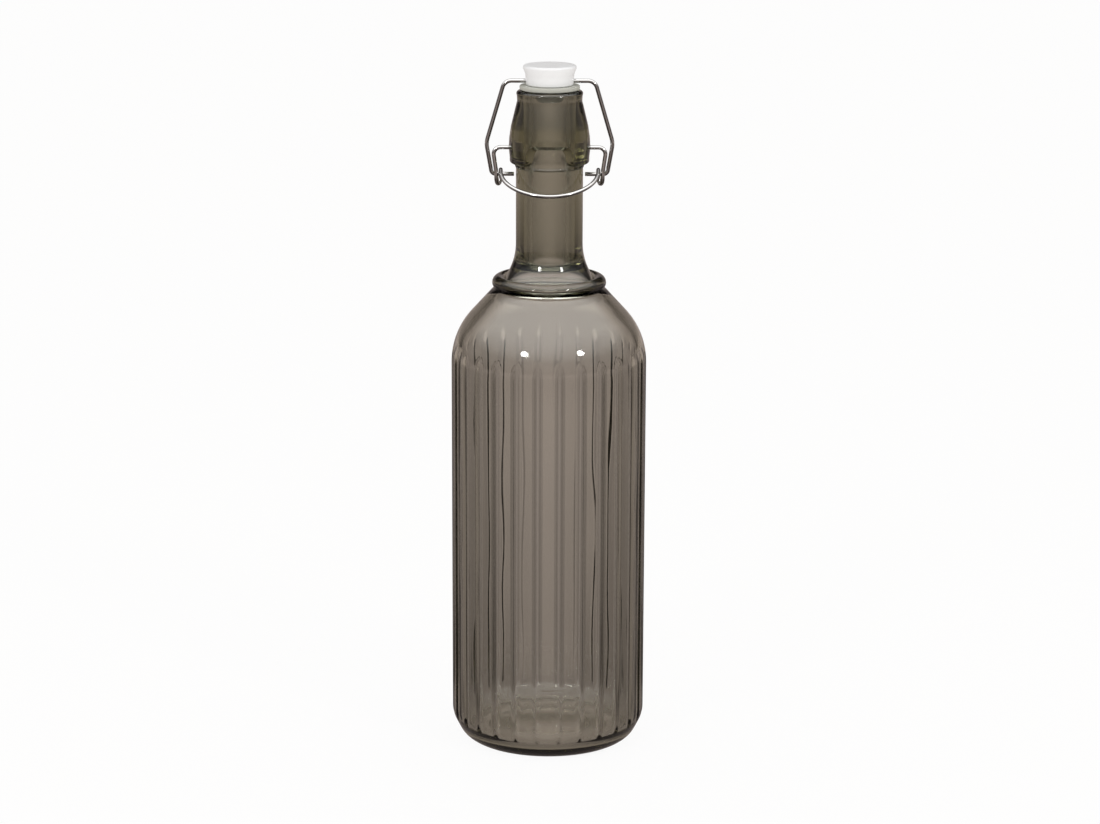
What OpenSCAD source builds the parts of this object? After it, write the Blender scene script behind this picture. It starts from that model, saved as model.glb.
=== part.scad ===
// Swing-top glass bottle with a reeded body, a wire lever, a wire bail and a sealed stopper.
// Lengths are in millimetres and angles in degrees. The base stands on z = 0, the axis is Z and
// the front, where the handle of the lever lies, faces -Y.

/* [Glass body] */
// Outer diameter of the straight body
body_d = 86; // [72:1:110]
// Height at which the straight side ends and the shoulder begins
body_h = 172.8; // [120:0.1:260]
// Wall of the body between its outer and inner faces
body_wall = 3.3; // [2.4:0.1:5]
// Thickness of the glass floor at the edge of the push-up
floor_t = 6.5; // [4:0.1:9]
// Height of the push-up at the middle of the base
punt_h = 3; // [1:0.1:5]
// Radius of the lower bend of the heel
heel_r = 9; // [7:0.1:11]
// Radius of the upper bend of the heel, where it runs into the side
heel_top_r = 12; // [8:0.1:16]
// Height at which the heel has become the straight side
heel_h = 14; // [12:0.1:22]
// Radius of the shoulder in profile
shoulder_r = 33; // [26:0.1:36]
// Steepness of the shoulder's cone, from the vertical
shoulder_a = 42.5; // [36:0.5:50]

/* [Reeds] */
// Number of reeds round the body
reed_n = 28; // [16:1:36]
// Radius of the cutter that forms the groove between two reeds
groove_r = 2; // [1.2:0.1:3]
// Depth of the groove between two reeds
groove_deep = 0.75; // [0.3:0.05:1]

/* [Neck] */
// Outer diameter of the straight neck
neck_d = 29.3; // [26:0.1:33]
// Bore of the neck
bore_d = 14.8; // [12:0.1:17]
// Height of the straight neck between its flare and the collar
neck_h = 35.3; // [20:0.1:60]
// Radius of the flare where the neck grows out of the shoulder
flare_r = 27; // [24:0.1:32]
// Outer diameter of the ring at the foot of the neck
ring_d = 50.1; // [47:0.1:56]
// Radius of the ring's round section
ring_r = 3.1; // [2.4:0.1:3.6]
// Depth of the groove between the ring and the shoulder
ring_groove = 1.7; // [0.8:0.1:2.2]

/* [Collar and mouth] */
// Largest diameter of the collar, at the lever's pivots
collar_d = 35.6; // [32:0.1:38]
// Height of the collar from its lower edge to the top of the lip
collar_h = 31.7; // [28:0.1:36]
// Diameter of the waist under the lip
waist_d = 28.3; // [26:0.1:30]
// Outer diameter of the lip
lip_d = 29; // [28:0.1:31]
// Bore of the mouth
mouth_d = 15.6; // [15:0.1:18]
// Width of the arched recess in the front of the collar, at its corners
arch_w = 18.8; // [12:0.1:21]
// Width of the arched recess at its foot
arch_foot_w = 21; // [14:0.1:24]
// Height of the arched recess above the lower edge of the collar
arch_h = 9; // [6:0.1:12]

/* [Stopper and gasket] */
// Diameter of the stopper's top
head_top_d = 23.3; // [20:0.1:26]
// Diameter of the stopper's lower edge
head_low_d = 20.7; // [18:0.1:24]
// Height of the stopper's head above the gasket
head_h = 8.8; // [7:0.1:12]
// Height of the cross-hole for the bail above the gasket
cross_h = 1.8; // [1.7:0.1:4]
// Largest diameter of the plug inside the mouth
plug_d = 13.4; // [12.2:0.1:14]
// Depth of the plug below the gasket
plug_h = 5; // [3:0.1:5.2]
// Outer diameter of the gasket
gasket_d = 26.2; // [24:0.1:28]
// Hole of the gasket, which sits on the stopper's stem
gasket_hole_d = 11.8; // [9:0.1:12]
// Thickness of the gasket
gasket_t = 2; // [1.5:0.1:3]

/* [Wires] */
// Diameter of both wires
wire_d = 1.8; // [1.5:0.1:2]
// Height of the lever's pivot above the lower edge of the collar
pivot_h = 6.7; // [4.5:0.1:8]
// Drop from the pivot to the lower bend of the lever's eye
eye_drop = 13.45; // [12.8:0.05:15]
// Radius of the eye, to the middle of the wire
eye_r = 2.8; // [2.6:0.05:3.4]
// Half width between the cranks of the lever, at the pivot
crank_top_x = 24.8; // [24:0.1:25]
// Half width between the cranks of the lever, at the eyes
crank_low_x = 23.2; // [23:0.1:23.8]
// Slope of the handle below the horizontal
handle_a = 22; // [18:0.5:26]
// Half width of the bail at its lower ends
bail_low_x = 25.2; // [25.1:0.1:27]
// Half width of the bail at its widest
bail_mid_x = 27.6; // [27.4:0.1:30]
// Half width of the bail at its top corners
bail_top_x = 19.6; // [18:0.1:23]
// Height of the widest place of the bail above its lower ends
bail_mid_h = 13.9; // [12:0.1:18]

/* [Hidden] */

$fn = 96;

// Overrun of every cut past the face it leaves
over = 1;
// Steps in a quarter of a round stretch of an outline
quarter_steps = 10;

// Body
body_r = body_d / 2;
inner_r = body_r - body_wall;
heel_lean = 27.2;
heel_top_c = [body_r - heel_top_r, heel_h];
heel_top_end = heel_top_c + heel_top_r * [cos(heel_lean), -sin(heel_lean)];
heel_low_z = heel_r * (1 - sin(heel_lean));
heel_low_x = heel_top_end.x - (heel_top_end.y - heel_low_z) * tan(heel_lean);
heel_c = [heel_low_x - heel_r * cos(heel_lean), heel_r];
punt_share = 0.85;
punt_r = heel_c.x * punt_share;
inner_heel_r = 9;
inner_punt_share = 0.8;
inner_punt_r = (inner_r - inner_heel_r) * inner_punt_share;
inner_punt_h = 1.8;

// Shoulder and ring
shoulder_c = [body_r - shoulder_r, body_h];
shoulder_end = shoulder_c + shoulder_r * [cos(shoulder_a), sin(shoulder_a)];
ring_lip = 0.35;
ring_rise = 3.55;
cone_x = ring_d / 2 + ring_lip;
cone_z = shoulder_end.y + (shoulder_end.x - cone_x) / tan(shoulder_a);
groove_rise = 0.8;
ring_c = [ring_d / 2 - ring_r, cone_z + ring_rise];
neck_rise = 17.6;
flare_c = [neck_d / 2 + flare_r, ring_c.y + neck_rise];
ring_from = -50;
ring_to = 125;
flare_from = 216;

// Inner face of the shoulder and neck
inner_shoulder_r = shoulder_r - body_wall;
inner_cone_run = 9;
roof_a = 55;
roof_c = shoulder_c + inner_cone_run * [-sin(shoulder_a), cos(shoulder_a)];
roof_end = roof_c + inner_shoulder_r * [cos(roof_a), sin(roof_a)];
inner_flare_r = 4;
bore_r = bore_d / 2;
inner_flare_c_x = bore_r + inner_flare_r;
roof_top_x = inner_flare_c_x - inner_flare_r * cos(roof_a);
roof_top_z = roof_end.y + (roof_end.x - roof_top_x) / tan(roof_a);
inner_flare_c = [inner_flare_c_x, roof_top_z + inner_flare_r * sin(roof_a)];

// Collar and mouth
collar_z = flare_c.y + neck_h;
lip_z = collar_z + collar_h;
collar_r = collar_d / 2;
collar_corner_r = 1.3;
foot_in = 0.45;
collar_foot_r = collar_r - foot_in;
foot_rise = 2.7;
belly_rise = 6.7;
belly_top_rise = 11.2;
belly_top_in = 0.25;
brow_rise = 16.2;
brow_in = 0.75;
lip_r = lip_d / 2;
waist_r = waist_d / 2;
waist_drop = 4.4;
lip_bead_r = 1.3;
mouth_r = mouth_d / 2;
mouth_round = 0.6;
core_share = 0.55;
core_top_z = collar_z + collar_h * core_share;
arch_corner_r = 3.4;

// Lever
wire_r = wire_d / 2;
swell = 0.03;
bend_reach = 0.2;
pivot_z = collar_z + pivot_h;
dimple_deep = 3.4;
pivot_play = 0.06;
end_gap = 0.3;
lever_end_x = collar_r - dimple_deep + end_gap;
crank_bend_r = 3;
crank_ease_r = 12;
crank_leg = 2.5;
eye_leg = 0.4;
eye_z = pivot_z - eye_drop;
strand_gap = 0.06;
handle_x = crank_low_x - wire_d - swell - strand_gap;
eye_step = [crank_low_x - handle_x, 2 * eye_r];
eye_top_a = 90 + handle_a;
eye_end = [eye_r + eye_r * cos(eye_top_a), eye_z + eye_leg + eye_r * sin(eye_top_a)];
handle_c = [0, eye_end.x - eye_leg * cos(handle_a), eye_end.y - eye_leg * sin(handle_a)];

// Stopper and gasket
seat_gap = 0.3;
gasket_z = lip_z + seat_gap;
gasket_top_z = gasket_z + gasket_t;
gasket_edge_r = 0.6;
gasket_play = 0.05;
head_low_round = 0.7;
head_top_round = 0.8;
cross_z = gasket_top_z + cross_h;
cross_play = 0.08;
stem_r = gasket_hole_d / 2 - gasket_play;
plug_r = plug_d / 2;
plug_round = 1.2;
plug_tip_share = 0.78;

// Bail, drawn in its own plane from the pin in the eye up to the stopper
pin_play = 0.06;
pin_y = eye_r;
pin_z = eye_z + eye_leg + eye_r - wire_d - swell - pin_play;
bail_h = norm([pin_y, cross_z - pin_z]);
bail_lean = atan2(pin_y, cross_z - pin_z);
stub_x = 15.5;
pin_bend_r = 2;
bail_mid_bend_r = 9;
bail_top_bend_r = 4;

// Points of an arc in an outline, from angle a0 to angle a1
function arc(c, r, a0, a1) =
    let (n = max(1, ceil(abs(a1 - a0) / 90 * quarter_steps)))
    [for (i = [0:n]) c + r * [cos(a0 + (a1 - a0) * i / n), sin(a0 + (a1 - a0) * i / n)]];

// Points of a shallow dome, from the axis at height top_z down to radius r at height edge_z
function dome(r, top_z, edge_z) =
    let (n = quarter_steps)
    [for (i = [0:n]) [r * i / n, top_z - (top_z - edge_z) * pow(i / n, 2)]];

// Outer outline of the body and the neck, up to a flat end hidden in the collar
function body_outline() = concat(
    dome(punt_r, punt_h, 0),
    arc(heel_c, heel_r, -90, -heel_lean),
    arc(heel_top_c, heel_top_r, -heel_lean, 0),
    arc(shoulder_c, shoulder_r, 0, shoulder_a),
    [[cone_x, cone_z], [ring_d / 2 - ring_groove, cone_z + groove_rise]],
    arc(ring_c, ring_r, ring_from, ring_to),
    arc(flare_c, flare_r, flare_from, 180),
    [[neck_d / 2, core_top_z], [0, core_top_z]]);

// Outline of the space inside the bottle
function cavity_outline() = concat(
    dome(inner_punt_r, floor_t + inner_punt_h, floor_t),
    arc([inner_r - inner_heel_r, floor_t + inner_heel_r], inner_heel_r, -90, 0),
    arc(shoulder_c, inner_shoulder_r, 0, shoulder_a),
    arc(roof_c, inner_shoulder_r, shoulder_a, roof_a),
    arc(inner_flare_c, inner_flare_r, 180 + roof_a, 180),
    [
        [bore_r, collar_z],
        [mouth_r, lip_z - mouth_round],
        [mouth_r + mouth_round, lip_z],
        [mouth_r + mouth_round, lip_z + over],
        [0, lip_z + over]
    ]);

// Outline of the collar with its lip
function collar_outline() = concat(
    [[0, collar_z]],
    arc([collar_foot_r - collar_corner_r, collar_z + collar_corner_r], collar_corner_r, -90, 0),
    [
        [collar_foot_r, collar_z + foot_rise],
        [collar_r, collar_z + belly_rise],
        [collar_r - belly_top_in, collar_z + belly_top_rise],
        [collar_r - brow_in, collar_z + brow_rise],
        [waist_r, lip_z - waist_drop]
    ],
    arc([lip_r - lip_bead_r, lip_z - lip_bead_r], lip_bead_r, -30, 90),
    [[0, lip_z]]);

// Straight wire from p to q in the plane of a drawing, reaching a little into the bends it meets
module wire_run(p, q, into_first = 0, into_last = 0) {
    d = (q - p) / norm(q - p);
    translate([p.x - into_first * d.x, p.y - into_first * d.y, 0])
        rotate([0, 0, atan2(d.y, d.x)])
            rotate([0, 90, 0])
                cylinder(r = wire_r, h = norm(q - p) + into_first + into_last);
}

// Bend of a wire about the Z axis, starting on the X axis; bending swells the wire a little
module wire_bend(r, a) {
    rotate_extrude(angle = a)
        translate([r, 0])
            circle(r = wire_r + swell);
}

// Sine of the turn from direction u to direction v, positive to the left
function turn(u, v) = u.x * v.y - u.y * v.x;
// Length that a bend of radius r takes from each of the two runs it joins
function bend_run(u, v, r) = r * tan(acos(u * v) / 2);
// Unit direction from p to q
function way(p, q) = (q - p) / norm(q - p);

// Bent wire through the points of a drawing, with a bend of radius bends[i] at point i
module bent_wire(points, bends, into_last = 0) {
    last = len(points) - 1;
    cut = [for (i = [0:last])
        i == 0 || i == last ? 0
        : bend_run(way(points[i - 1], points[i]), way(points[i], points[i + 1]), bends[i])];
    for (i = [0:last - 1]) {
        d = way(points[i], points[i + 1]);
        wire_run(points[i] + cut[i] * d, points[i + 1] - cut[i + 1] * d,
            i == 0 ? 0 : bend_reach, i == last - 1 ? into_last : bend_reach);
    }
    for (i = [1:last - 1]) {
        u = way(points[i - 1], points[i]);
        v = way(points[i], points[i + 1]);
        side = sign(turn(u, v));
        start = points[i] - cut[i] * u;
        centre = start + side * bends[i] * [-u.y, u.x];
        translate([centre.x, centre.y, 0])
            rotate([0, 0, atan2(start.y - centre.y, start.x - centre.x)])
                wire_bend(bends[i], side * acos(u * v));
    }
}

// Cutters for the grooves between the reeds
module reed_grooves() {
    for (i = [0:reed_n - 1])
        rotate([0, 0, 90 + (i + 0.5) * 360 / reed_n])
            translate([body_r + groove_r - groove_deep, 0, 0])
                cylinder(r = groove_r, h = body_h + shoulder_r);
}

// Arched recess in the front of the collar, down to the straight neck
module arch_cutter() {
    top = arch_h - arch_corner_r;
    translate([0, 0, collar_z])
        rotate([90, 0, 0])
            linear_extrude(height = collar_r + over)
                union() {
                    polygon([
                        [-arch_foot_w / 2, -over],
                        [arch_foot_w / 2, -over],
                        [arch_foot_w / 2, 0],
                        [arch_w / 2, top],
                        [-arch_w / 2, top],
                        [-arch_foot_w / 2, 0]
                    ]);
                    for (s = [-1, 1])
                        translate([s * (arch_w / 2 - arch_corner_r), top])
                            circle(r = arch_corner_r);
                    translate([arch_corner_r - arch_w / 2, 0])
                        square([arch_w - 2 * arch_corner_r, arch_h]);
                }
}

// The glass bottle
module bottle() {
    color([0.42, 0.39, 0.35, 0.6])
        difference() {
            union() {
                rotate_extrude()
                    polygon(body_outline());
                difference() {
                    rotate_extrude()
                        polygon(collar_outline());
                    arch_cutter();
                }
            }
            rotate_extrude()
                polygon(cavity_outline());
            reed_grooves();
            for (s = [0, 180])
                rotate([0, 0, s])
                    translate([collar_r - dimple_deep, 0, pivot_z])
                        rotate([0, 90, 0])
                            cylinder(r = wire_r + pivot_play, h = dimple_deep + over);
        }
}

// The stopper: a tapered head, a stem through the gasket and a plug in the mouth
module stopper() {
    head_taper = atan2((head_top_d - head_low_d) / 2, head_h);
    plug_top_z = gasket_z - gasket_play;
    color([0.95, 0.95, 0.94])
        difference() {
            rotate_extrude()
                polygon(concat(
                    [[0, gasket_z - plug_h]],
                    arc([plug_r * plug_tip_share - plug_round, gasket_z - plug_h + plug_round],
                        plug_round, -90, -15),
                    [[plug_r, plug_top_z - gasket_t / 2], [plug_r, plug_top_z]],
                    [[stem_r, plug_top_z], [stem_r, gasket_top_z + gasket_play]],
                    arc([head_low_d / 2 - head_low_round, gasket_top_z + gasket_play + head_low_round],
                        head_low_round, -90, -head_taper),
                    arc([head_top_d / 2 - head_top_round, gasket_top_z + head_h - head_top_round],
                        head_top_round, -head_taper, 90),
                    [[0, gasket_top_z + head_h]]));
            translate([-head_top_d / 2, 0, cross_z])
                rotate([0, 90, 0])
                    cylinder(r = wire_r + cross_play, h = head_top_d);
        }
}

// The gasket: a soft washer between the stopper's head and the lip
module gasket() {
    color([0.82, 0.82, 0.78, 0.8])
        rotate_extrude()
            polygon(concat(
                [[gasket_hole_d / 2, gasket_z]],
                arc([gasket_d / 2 - gasket_edge_r, gasket_z + gasket_edge_r], gasket_edge_r, -90, 0),
                arc([gasket_d / 2 - gasket_edge_r, gasket_top_z - gasket_edge_r], gasket_edge_r, 0, 90),
                [[gasket_hole_d / 2, gasket_top_z]]));
}

// The bail: from a pin in one eye up through the stopper and down to the pin in the other eye
module bail_wire() {
    half = [
        [stub_x, 0],
        [bail_low_x, 0],
        [bail_mid_x, bail_mid_h],
        [bail_top_x, bail_h]
    ];
    half_bends = [0, pin_bend_r, bail_mid_bend_r, bail_top_bend_r];
    points = concat(half, [for (i = [3:-1:0]) [-half[i].x, half[i].y]]);
    bends = concat(half_bends, [for (i = [3:-1:0]) half_bends[i]]);
    color([0.75, 0.75, 0.76])
        translate([0, pin_y, pin_z])
            rotate([90 + bail_lean, 0, 0])
                bent_wire(points, bends);
}

// One eye of the lever: across at the bottom, up the back, over the top and on to the handle
module lever_eye() {
    translate([crank_low_x - eye_step.x / 2, eye_r, eye_z])
        rotate([0, 0, atan2(eye_step.y, -eye_step.x)])
            rotate([90, 0, 0])
                rotate([0, 0, 180])
                    wire_bend(norm(eye_step) / 2, 180);
    translate([handle_x, 2 * eye_r, eye_z - bend_reach])
        cylinder(r = wire_r, h = eye_leg + 2 * bend_reach);
    translate([handle_x, eye_r, eye_z + eye_leg])
        rotate([90, 0, 90])
            wire_bend(eye_r, eye_top_a);
    translate([handle_x, handle_c.y, handle_c.z])
        rotate([handle_a, 0, 0])
            rotate([-90, 0, 0])
                translate([0, 0, -bend_reach])
                    cylinder(r = wire_r, h = eye_leg + 2 * bend_reach);
}

// The lever: pivots in the collar's sides, cranks, eyes for the bail and the round handle
module lever_wire() {
    crank = [
        [lever_end_x, pivot_z],
        [crank_top_x, pivot_z],
        [crank_low_x, eye_z + crank_leg],
        [crank_low_x, eye_z]
    ];
    color([0.75, 0.75, 0.76])
        union() {
            for (m = [0, 1])
                mirror([m, 0, 0]) {
                    rotate([90, 0, 0])
                        bent_wire(crank, [0, crank_bend_r, crank_ease_r, 0], bend_reach);
                    lever_eye();
                }
            translate(handle_c)
                rotate([handle_a, 0, 0])
                    rotate([0, 0, 180])
                        wire_bend(handle_x, 180);
        }
}

bottle();
stopper();
gasket();
bail_wire();
lever_wire();
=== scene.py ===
"""Swing-top bottle of reeded smoke-grey glass, with its wire lever, wire bail, stopper and gasket.

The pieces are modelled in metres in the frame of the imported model: the bottle stands on z = 0, its
axis is Z, and the handle of the lever lies on the front, towards -Y.
"""
from math import acos, atan2, ceil, cos, degrees, hypot, pi, radians, sin, sqrt, tan

import bmesh
import bpy
from mathutils import Matrix, Vector, noise


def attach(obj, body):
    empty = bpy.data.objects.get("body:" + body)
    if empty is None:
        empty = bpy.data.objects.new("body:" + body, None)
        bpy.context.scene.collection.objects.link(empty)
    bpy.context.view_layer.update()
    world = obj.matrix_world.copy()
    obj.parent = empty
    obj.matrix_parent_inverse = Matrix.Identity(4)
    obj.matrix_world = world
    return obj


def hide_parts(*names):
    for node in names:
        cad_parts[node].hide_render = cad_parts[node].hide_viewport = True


bl_info = {
    "name": "Swing-top bottle",
    "version": (1, 0, 0),
    "blender": (4, 5, 0),
    "location": "View3D > Sidebar > Bottle",
    "description": "Builds a reeded glass bottle with a wire swing-top closure",
    "category": "Add Mesh",
}

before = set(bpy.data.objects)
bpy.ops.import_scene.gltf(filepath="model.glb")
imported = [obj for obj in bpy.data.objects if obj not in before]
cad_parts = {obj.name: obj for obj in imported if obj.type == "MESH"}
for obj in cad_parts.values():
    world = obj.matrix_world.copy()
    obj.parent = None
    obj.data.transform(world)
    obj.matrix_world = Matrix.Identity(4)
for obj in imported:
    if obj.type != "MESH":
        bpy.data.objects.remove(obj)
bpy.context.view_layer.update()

MM = 0.001


# Sizes and finishes that a user would change

class GlassSettings(bpy.types.PropertyGroup):
    """Sizes and colour of the glass"""
    reed_count: bpy.props.IntProperty(
        name="Reeds", description="Number of reeds round the body", default=28, min=8, max=48)
    groove_radius: bpy.props.FloatProperty(
        name="Groove radius", description="Radius of the groove between two reeds",
        default=2.0 * MM, min=0.5 * MM, max=4 * MM, unit="LENGTH", precision=5)
    groove_depth: bpy.props.FloatProperty(
        name="Groove depth", description="Depth of the groove between two reeds",
        default=0.75 * MM, min=0.0, max=1.5 * MM, unit="LENGTH", precision=5)
    groove_softness: bpy.props.FloatProperty(
        name="Groove softness", description="Rounding of the groove's edges",
        default=0.5 * MM, min=0.05 * MM, max=1.5 * MM, unit="LENGTH", precision=5)
    waviness: bpy.props.FloatProperty(
        name="Waviness", description="Unevenness of the inner face",
        default=0.2 * MM, min=0.0, max=1 * MM, unit="LENGTH", precision=5)
    tint: bpy.props.FloatVectorProperty(
        name="Tint", description="Colour that the glass lets through",
        default=(0.562, 0.555, 0.41), min=0.0, max=1.0, subtype="COLOR")
    density: bpy.props.FloatProperty(
        name="Density", description="How strongly the glass absorbs the other colours, per metre",
        default=118.0, min=0.0, max=2000.0)


class ClosureSettings(bpy.types.PropertyGroup):
    """Finishes of the closure"""
    wire_colour: bpy.props.FloatVectorProperty(
        name="Wire", description="Colour of the steel wire",
        default=(0.52, 0.51, 0.50), min=0.0, max=1.0, subtype="COLOR")
    plastic_colour: bpy.props.FloatVectorProperty(
        name="Stopper", description="Colour of the stopper's plastic",
        default=(0.86, 0.86, 0.86), min=0.0, max=1.0, subtype="COLOR")
    silicone_colour: bpy.props.FloatVectorProperty(
        name="Gasket", description="Colour of the gasket's silicone",
        default=(0.45, 0.45, 0.40), min=0.0, max=1.0, subtype="COLOR")


class StageSettings(bpy.types.PropertyGroup):
    """Floor, lamps and surroundings"""
    floor_colour: bpy.props.FloatVectorProperty(
        name="Floor", description="Colour of the floor",
        default=(0.88, 0.84, 0.81), min=0.0, max=1.0, subtype="COLOR")
    key_power: bpy.props.FloatProperty(
        name="Lamps", description="Power of each of the two front lamps, in watts",
        default=2.5, min=0.0, max=200.0)
    backdrop: bpy.props.FloatVectorProperty(
        name="Backdrop", description="Colour of the surroundings, as glass and wires show them",
        default=(0.36, 0.305, 0.285), min=0.0, max=1.0, subtype="COLOR")
    ceiling: bpy.props.FloatProperty(
        name="Ceiling", description="Brightness of the wide soft light above the camera",
        default=2.6, min=0.0, max=6.0)
    world: bpy.props.FloatProperty(
        name="World", description="Brightness of the plain light from all round",
        default=0.85, min=0.0, max=2.0)


# Materials

def new_material(name):
    """An empty node material, its tree and its output."""
    material = bpy.data.materials.new(name)
    material.use_nodes = True
    tree = material.node_tree
    tree.nodes.clear()
    output = tree.nodes.new("ShaderNodeOutputMaterial")
    return material, tree, output


def add(tree, kind, **inputs):
    """A node of that kind, with its sockets set by name."""
    node = tree.nodes.new(kind)
    for key, value in inputs.items():
        node.inputs[key.replace("_", " ")].default_value = value
    return node


def smooth_level(tree, value, low, high, first, last):
    """A soft change from first to last while the value goes from low to high."""
    node = tree.nodes.new("ShaderNodeMapRange")
    node.interpolation_type = "SMOOTHSTEP"
    node.inputs["From Min"].default_value = low
    node.inputs["From Max"].default_value = high
    node.inputs["To Min"].default_value = first
    node.inputs["To Max"].default_value = last
    tree.links.new(value, node.inputs["Value"])
    return node.outputs[0]


def combined(tree, operation, a, b):
    """The operation on two values."""
    node = tree.nodes.new("ShaderNodeMath")
    node.operation = operation
    tree.links.new(a, node.inputs[0])
    tree.links.new(b, node.inputs[1])
    return node.outputs[0]


def ramp(tree, value, stops):
    """A brightness that runs straight from stop to stop, each a place from 0 to 1 and a level."""
    node = tree.nodes.new("ShaderNodeValToRGB")
    points = node.color_ramp.elements
    while len(points) < len(stops):
        points.new(0.5)
    for point, (place, level) in zip(points, stops):
        point.position = place
        point.color = (level, level, level, 1.0)
    tree.links.new(value, node.inputs["Fac"])
    return node.outputs["Color"]


def with_number(tree, operation, value, number):
    """The operation on a value and a plain number."""
    node = tree.nodes.new("ShaderNodeMath")
    node.operation = operation
    node.inputs[1].default_value = number
    tree.links.new(value, node.inputs[0])
    return node.outputs[0]


def distance(tree, place):
    """The length of a vector."""
    node = tree.nodes.new("ShaderNodeVectorMath")
    node.operation = "LENGTH"
    tree.links.new(place, node.inputs[0])
    return node.outputs["Value"]


def group_socket(group, name, direction, kind, default=None):
    socket = group.interface.new_socket(name=name, in_out=direction, socket_type=kind)
    if default is not None:
        socket.default_value = default


def surface_wear_group():
    """Group: fine grain and faint handling marks, as a roughness value and a height."""
    name = "surface wear"
    if name in bpy.data.node_groups:
        return bpy.data.node_groups[name]
    group = bpy.data.node_groups.new(name, "ShaderNodeTree")
    group_socket(group, "Grain Scale", "INPUT", "NodeSocketFloat", 900.0)
    group_socket(group, "Mark Scale", "INPUT", "NodeSocketFloat", 60.0)
    group_socket(group, "Roughness", "INPUT", "NodeSocketFloat", 0.3)
    group_socket(group, "Variation", "INPUT", "NodeSocketFloat", 0.1)
    group_socket(group, "Stretch", "INPUT", "NodeSocketVector", (1.0, 1.0, 1.0))
    group_socket(group, "Roughness", "OUTPUT", "NodeSocketFloat")
    group_socket(group, "Height", "OUTPUT", "NodeSocketFloat")
    group_socket(group, "Mask", "OUTPUT", "NodeSocketFloat")
    source = group.nodes.new("NodeGroupInput")
    target = group.nodes.new("NodeGroupOutput")
    place = group.nodes.new("ShaderNodeTexCoord")
    stretch = group.nodes.new("ShaderNodeVectorMath")
    stretch.operation = "MULTIPLY"
    grain = add(group, "ShaderNodeTexNoise", Detail=3.0)
    marks = add(group, "ShaderNodeTexNoise", Detail=4.0, Roughness=0.65)
    scaled = group.nodes.new("ShaderNodeMath")
    scaled.operation = "MULTIPLY_ADD"
    link = group.links.new
    link(place.outputs["Object"], stretch.inputs[0])
    link(source.outputs["Stretch"], stretch.inputs[1])
    link(stretch.outputs[0], grain.inputs["Vector"])
    link(stretch.outputs[0], marks.inputs["Vector"])
    link(source.outputs["Grain Scale"], grain.inputs["Scale"])
    link(source.outputs["Mark Scale"], marks.inputs["Scale"])
    link(with_number(group, "SUBTRACT", marks.outputs["Fac"], 0.5), scaled.inputs[0])
    link(source.outputs["Variation"], scaled.inputs[1])
    link(source.outputs["Roughness"], scaled.inputs[2])
    link(scaled.outputs[0], target.inputs["Roughness"])
    link(grain.outputs["Fac"], target.inputs["Height"])
    link(marks.outputs["Fac"], target.inputs["Mask"])
    return group


def place_wear(tree, grain, marks, roughness, variation, stretch=(1.0, 1.0, 1.0)):
    """The wear group with its scales per metre and its roughness."""
    node = tree.nodes.new("ShaderNodeGroup")
    node.node_tree = surface_wear_group()
    node.inputs["Grain Scale"].default_value = grain
    node.inputs["Mark Scale"].default_value = marks
    node.inputs["Roughness"].default_value = roughness
    node.inputs["Variation"].default_value = variation
    node.inputs["Stretch"].default_value = stretch
    return node


BORE_DULL = 0.26
BORE_EDGE = (0.0085, 0.0095)
BORE_LOW = (0.19, 0.2)
RING_DULL = 0.35
RING_TOP = (0.001, 0.003)


def dull_places(tree):
    """Extra roughness of the glass, in the neck's bore and on the ring that the bottle stands on."""
    place = tree.nodes.new("ShaderNodeTexCoord")
    split = tree.nodes.new("ShaderNodeSeparateXYZ")
    tree.links.new(place.outputs["Object"], split.inputs[0])
    level_only = add(tree, "ShaderNodeCombineXYZ")
    tree.links.new(split.outputs["X"], level_only.inputs["X"])
    tree.links.new(split.outputs["Y"], level_only.inputs["Y"])
    near = smooth_level(tree, distance(tree, level_only.outputs[0]), *BORE_EDGE, BORE_DULL, 0.0)
    high = smooth_level(tree, split.outputs["Z"], *BORE_LOW, 0.0, 1.0)
    foot = smooth_level(tree, split.outputs["Z"], *RING_TOP, RING_DULL, 0.0)
    return combined(tree, "ADD", combined(tree, "MULTIPLY", near, high), foot)


def join_surface(tree, shader, wear, bump, output):
    """Links the wear to a shader's roughness and bump, and the shader to the output."""
    link = tree.links.new
    link(wear.outputs["Roughness"], shader.inputs["Roughness"])
    link(wear.outputs["Height"], bump.inputs["Height"])
    link(bump.outputs["Normal"], shader.inputs["Normal"])
    link(shader.outputs["BSDF"], output.inputs["Surface"])


def glass_material(settings):
    material, tree, output = new_material("smoke_glass")
    shader = add(tree, "ShaderNodeBsdfPrincipled", Base_Color=(1.0, 1.0, 1.0, 1.0), Metallic=0.0,
                 IOR=1.5, Transmission_Weight=1.0)
    wear = place_wear(tree, grain=260.0, marks=34.0, roughness=0.004, variation=0.008,
                      stretch=(1.0, 1.0, 0.3))
    bump = add(tree, "ShaderNodeBump", Strength=0.05, Distance=0.0004)
    absorb = tree.nodes.new("ShaderNodeVolumeAbsorption")
    absorb.inputs["Color"].default_value = (*settings.tint, 1.0)
    absorb.inputs["Density"].default_value = settings.density
    link = tree.links.new
    rough = combined(tree, "ADD", wear.outputs["Roughness"], dull_places(tree))
    link(rough, shader.inputs["Roughness"])
    link(wear.outputs["Mask"], bump.inputs["Height"])
    link(bump.outputs["Normal"], shader.inputs["Normal"])
    link(shader.outputs["BSDF"], output.inputs["Surface"])
    link(absorb.outputs["Volume"], output.inputs["Volume"])
    return material


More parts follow.
